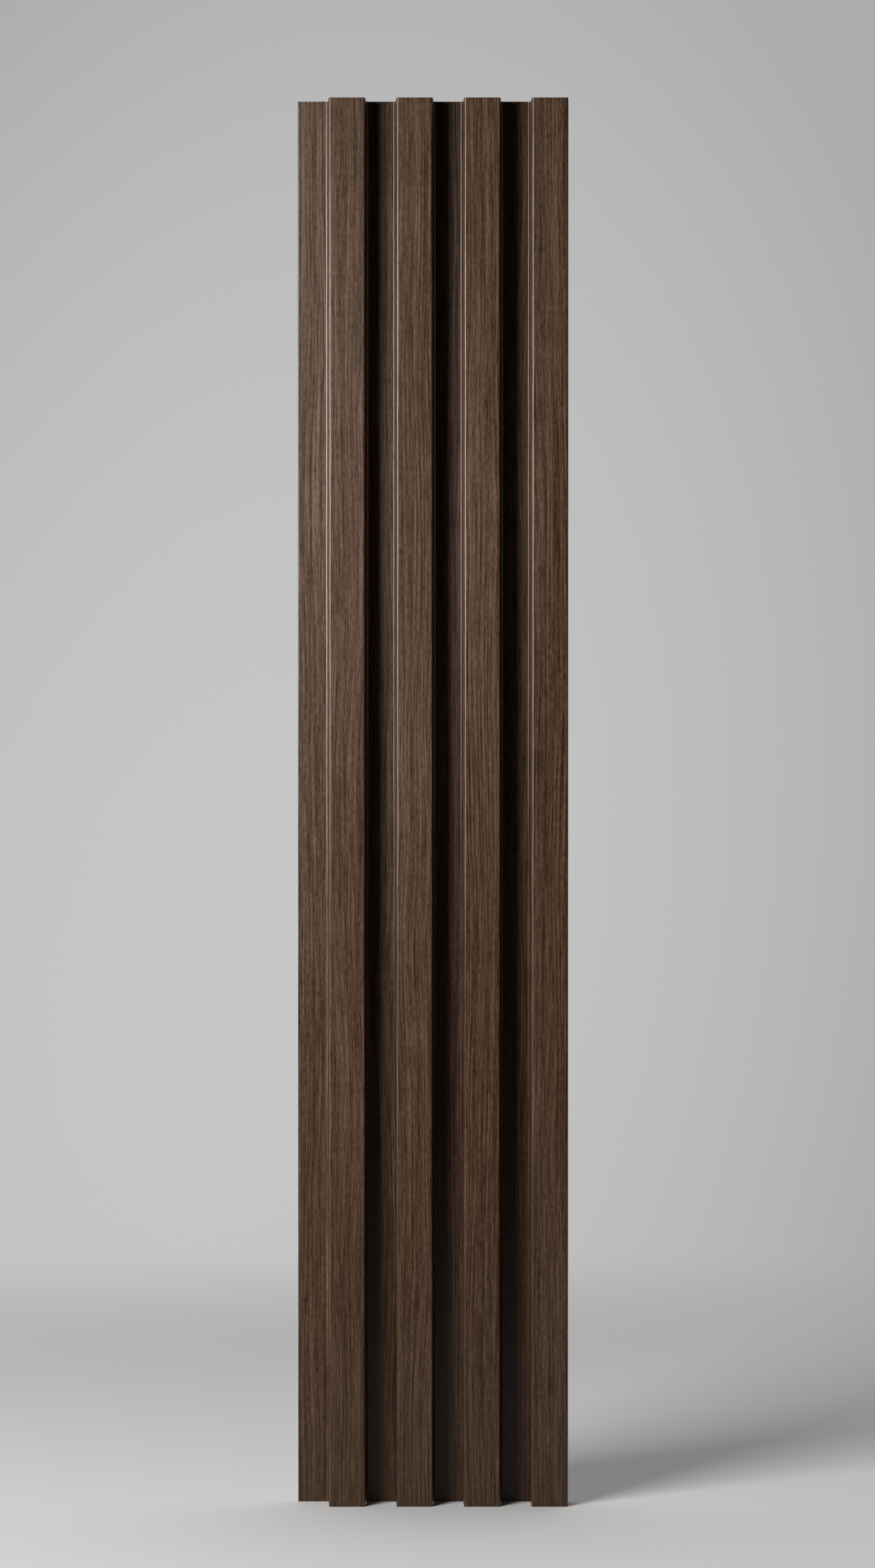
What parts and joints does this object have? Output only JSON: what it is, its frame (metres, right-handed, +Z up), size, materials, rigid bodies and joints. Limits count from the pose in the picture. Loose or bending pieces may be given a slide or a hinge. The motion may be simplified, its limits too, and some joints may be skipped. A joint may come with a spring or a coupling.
{
  "type": "fluted wall panel",
  "caption": "Tall narrow fluted wall panel, an extruded profile with a lapping flange and square hollow ribs, finished in dark wood-grain film.",
  "frame": {"origin": "on the wall plane, at the middle of the panel's width and at its bottom end", "axes": "+X to the right as seen from the room, +Y into the wall, +Z up along the ribs"},
  "size_m": [0.1608, 0.024, 0.833],
  "materials": {
    "wood_film": "dark brown wood-grain film, satin, grain along the length, on an extruded composite body"
  },
  "bodies": {
    "root": {"fluted_panel": "wood_film"}
  },
  "joints": []
}
